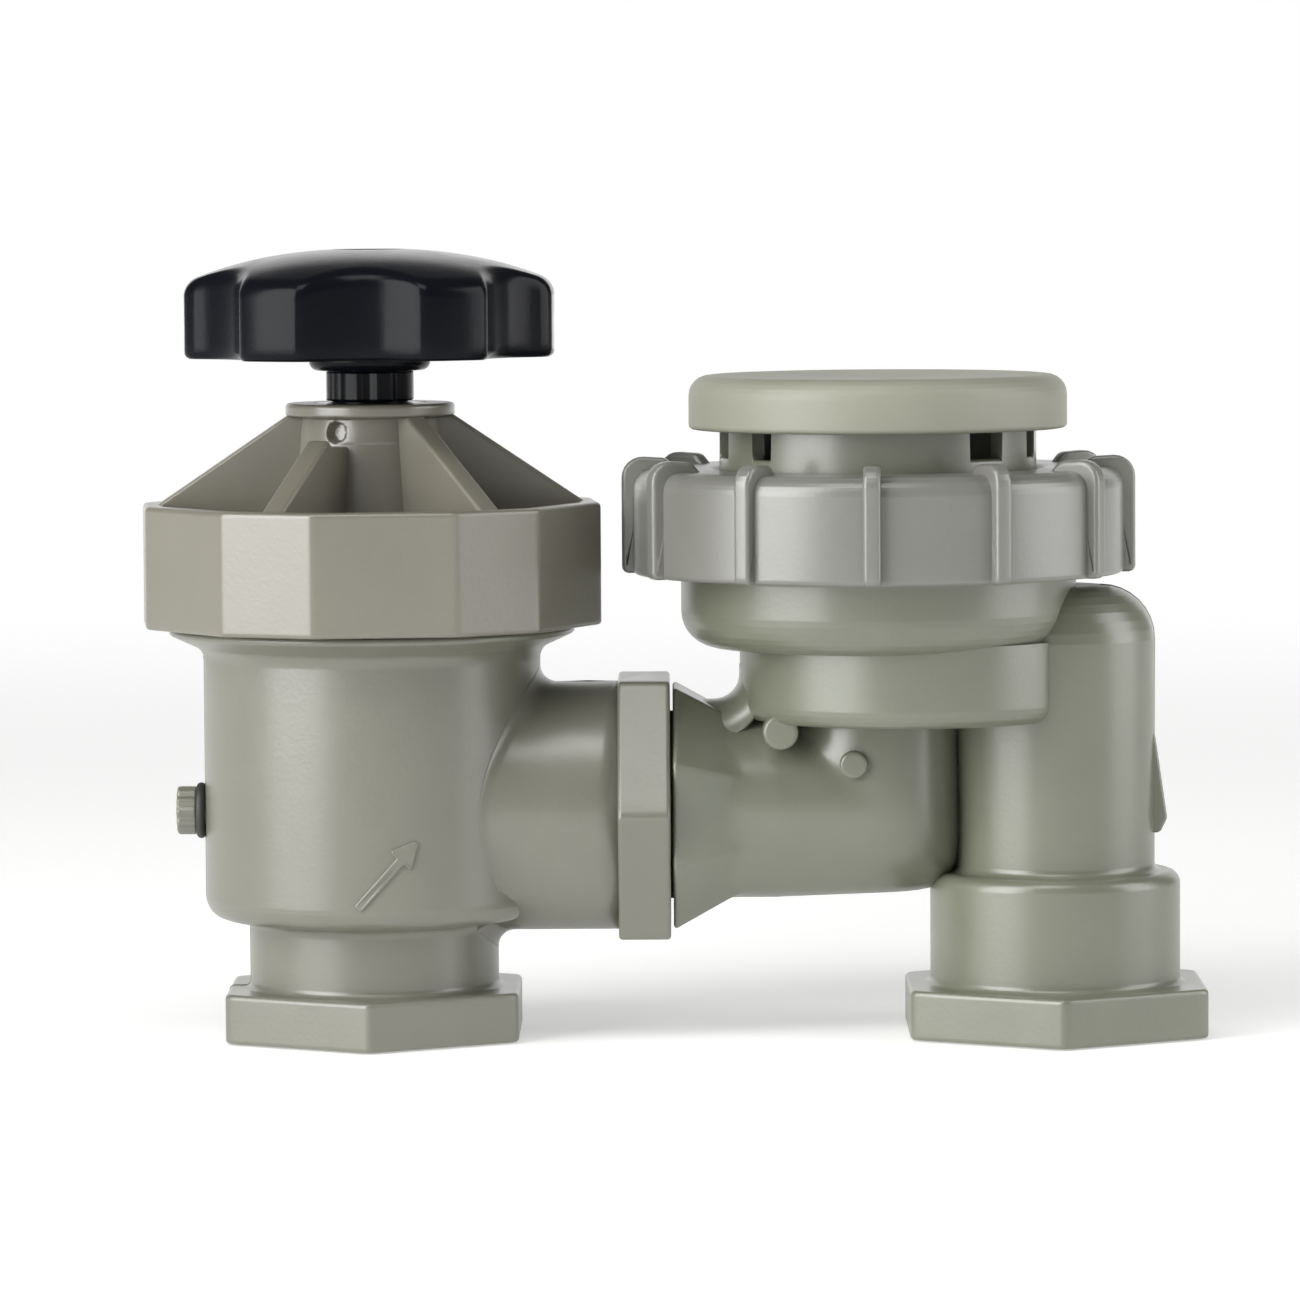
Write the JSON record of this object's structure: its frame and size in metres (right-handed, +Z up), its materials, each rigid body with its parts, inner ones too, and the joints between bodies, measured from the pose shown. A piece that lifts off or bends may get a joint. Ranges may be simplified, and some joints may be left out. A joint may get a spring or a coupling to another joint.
{
  "type": "anti-siphon valve",
  "caption": "Manual plastic angle valve with a lobed hand wheel, joined to an atmospheric vacuum breaker with a ribbed ring nut and vent cap; the pipe mouths face down",
  "frame": {"origin": "centre of the inlet pipe mouth, in the plane of both mouths", "axes": "+Z up along the stem, +X from the inlet to the outlet, -Y is the front"},
  "size_m": [0.1382, 0.0668, 0.1024],
  "materials": {
    "body_plastic": "satin moulded grey-beige plastic",
    "bonnet_plastic": "satin moulded taupe plastic",
    "nut_plastic": "satin moulded grey plastic",
    "cap_plastic": "satin moulded light beige plastic",
    "wheel_plastic": "semi-gloss black plastic",
    "inner_plastic": "natural white acetal",
    "seal_rubber": "black moulded rubber",
    "screw_steel": "stainless steel",
    "screw_brass": "turned brass"
  },
  "bodies": {
    "root": {"valve_body": "body_plastic", "drain_plug": "body_plastic", "drain_plug_o_ring": "seal_rubber", "bonnet": "bonnet_plastic", "bonnet_o_ring": "seal_rubber", "packing_gland": "wheel_plastic", "stem_o_rings": "seal_rubber", "breaker_body": "body_plastic", "joint_o_ring": "seal_rubber", "vent_seat": "body_plastic", "vent_seat_o_ring": "seal_rubber", "ring_nut": "nut_plastic", "vent_cap": "cap_plastic"},
    "disc": {"disc_holder": "inner_plastic", "disc_clip": "screw_steel", "seat_washer": "seal_rubber", "seat_washer_screw": "screw_brass"},
    "stem": {"stem": "wheel_plastic", "handle": "wheel_plastic", "handle_screw": "screw_steel"},
    "float": {"float": "inner_plastic", "float_lower_seal": "seal_rubber", "float_upper_seal": "seal_rubber", "float_screw": "screw_steel"}
  },
  "joints": [
    {"name": "disc_lift", "type": "slide", "parent": "root", "child": "disc", "axis": [0, 0, 1], "range_m": [0, 0.0075]},
    {"name": "stem_turn", "type": "hinge", "parent": "disc", "child": "stem", "pos_m": [0, 0, 0.055], "axis": [0, 0, 1], "range_deg": [0, 1080]},
    {"name": "float_lift", "type": "slide", "parent": "root", "child": "float", "axis": [0, 0, 1], "range_m": [0, 0.0045]}
  ],
  "couplings": [
    {"joint": "disc_lift", "follows": "stem_turn", "m_per_rad": 0.00039789}
  ]
}
